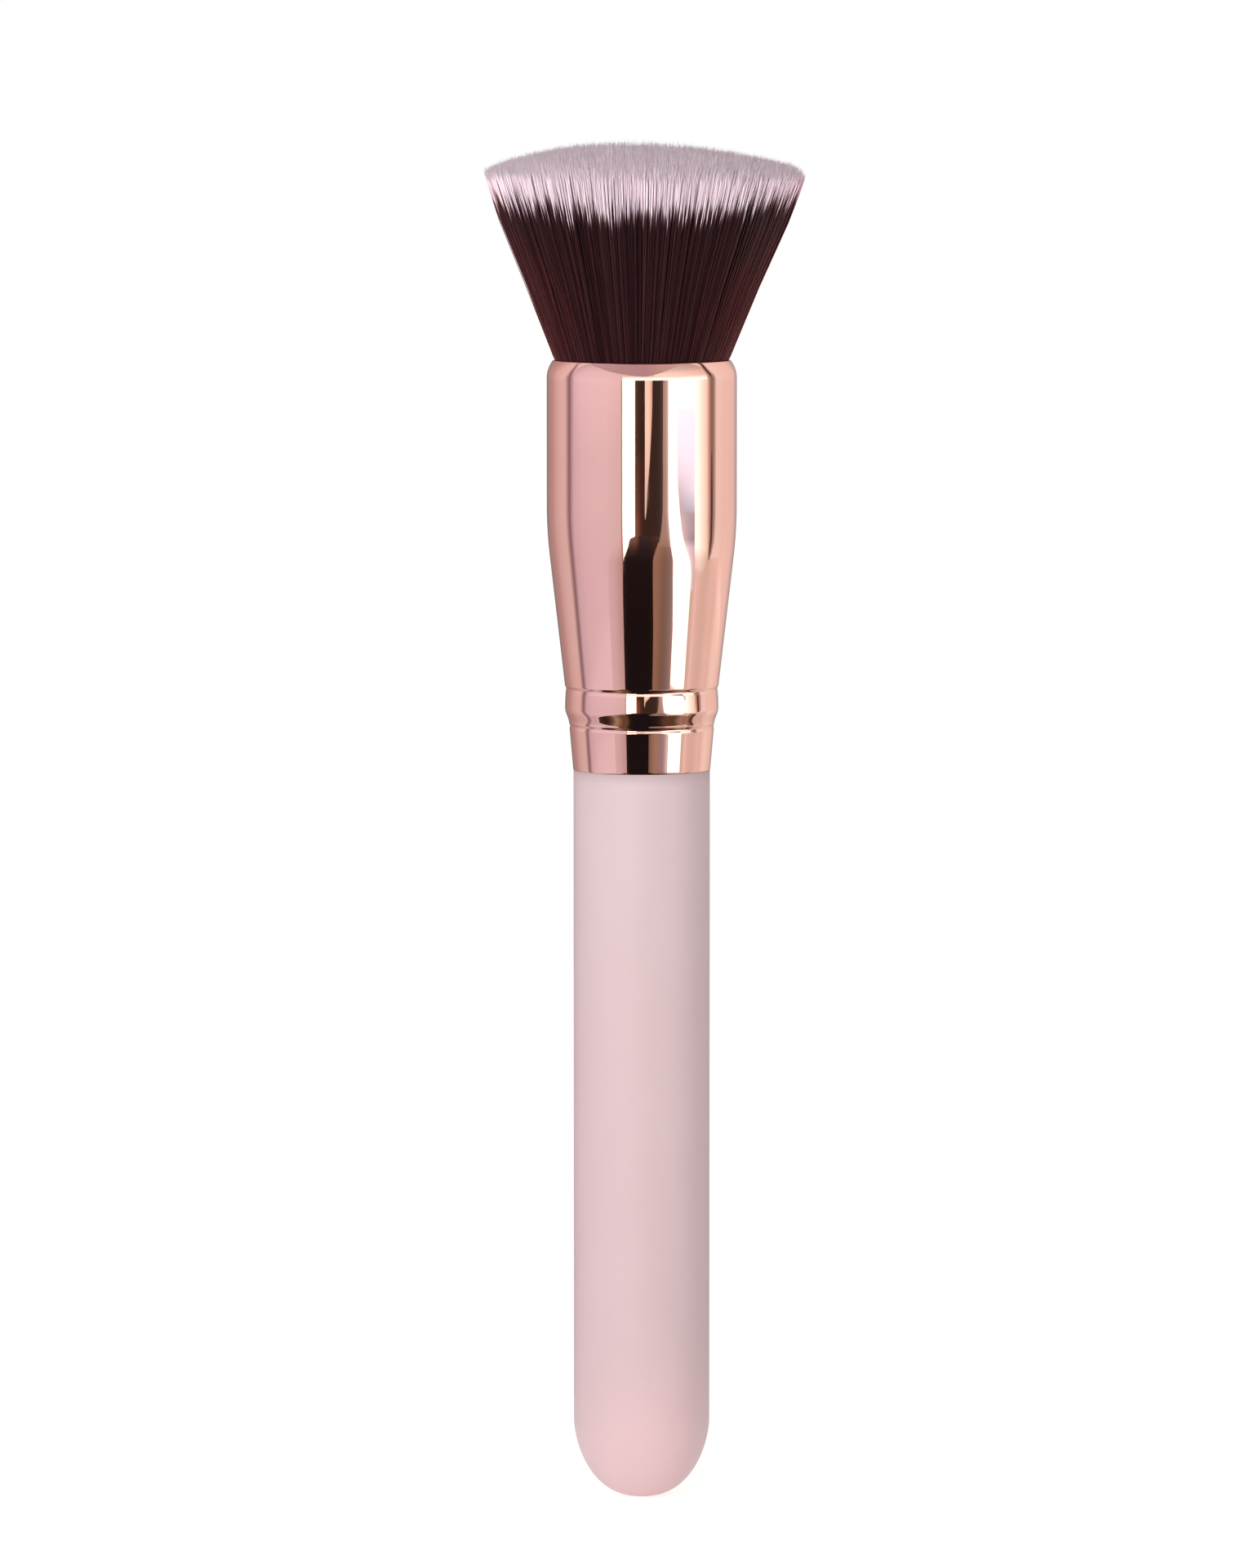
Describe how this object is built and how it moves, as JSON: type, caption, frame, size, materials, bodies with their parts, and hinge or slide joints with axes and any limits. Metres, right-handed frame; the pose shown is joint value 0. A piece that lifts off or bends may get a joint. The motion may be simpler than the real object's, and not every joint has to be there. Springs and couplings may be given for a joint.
{
  "type": "makeup brush",
  "caption": "Flat-top kabuki makeup brush: a flared, low-domed round tuft of two-tone filaments in a rolled metal ferrule on a straight lacquered handle with a rounded butt.",
  "frame": {"origin": "on the brush's axis at the lowest point of the rounded butt", "axes": "+Z along the axis from the butt to the bristles, as the brush is pictured; the brush is round, so +X is any side of it and +Y completes the frame"},
  "size_m": [0.0385, 0.0386, 0.1665],
  "materials": {
    "turned_wood": "sanded birch",
    "satin_lacquer": "satin pink lacquer",
    "rose_gold_ferrule": "bright rose-gold anodised",
    "set_glue": "set wood glue",
    "epoxy": "cast epoxy",
    "cord": "twisted cotton",
    "filaments": "dark brown synthetic filaments with pale lavender tips"
  },
  "bodies": {
    "root": {"handle_core": "turned_wood", "handle_lacquer": "satin_lacquer", "ferrule": "rose_gold_ferrule", "tenon_adhesive": "set_glue", "epoxy_plug": "epoxy", "binding_cord": "cord", "bristles": "filaments"}
  },
  "joints": []
}
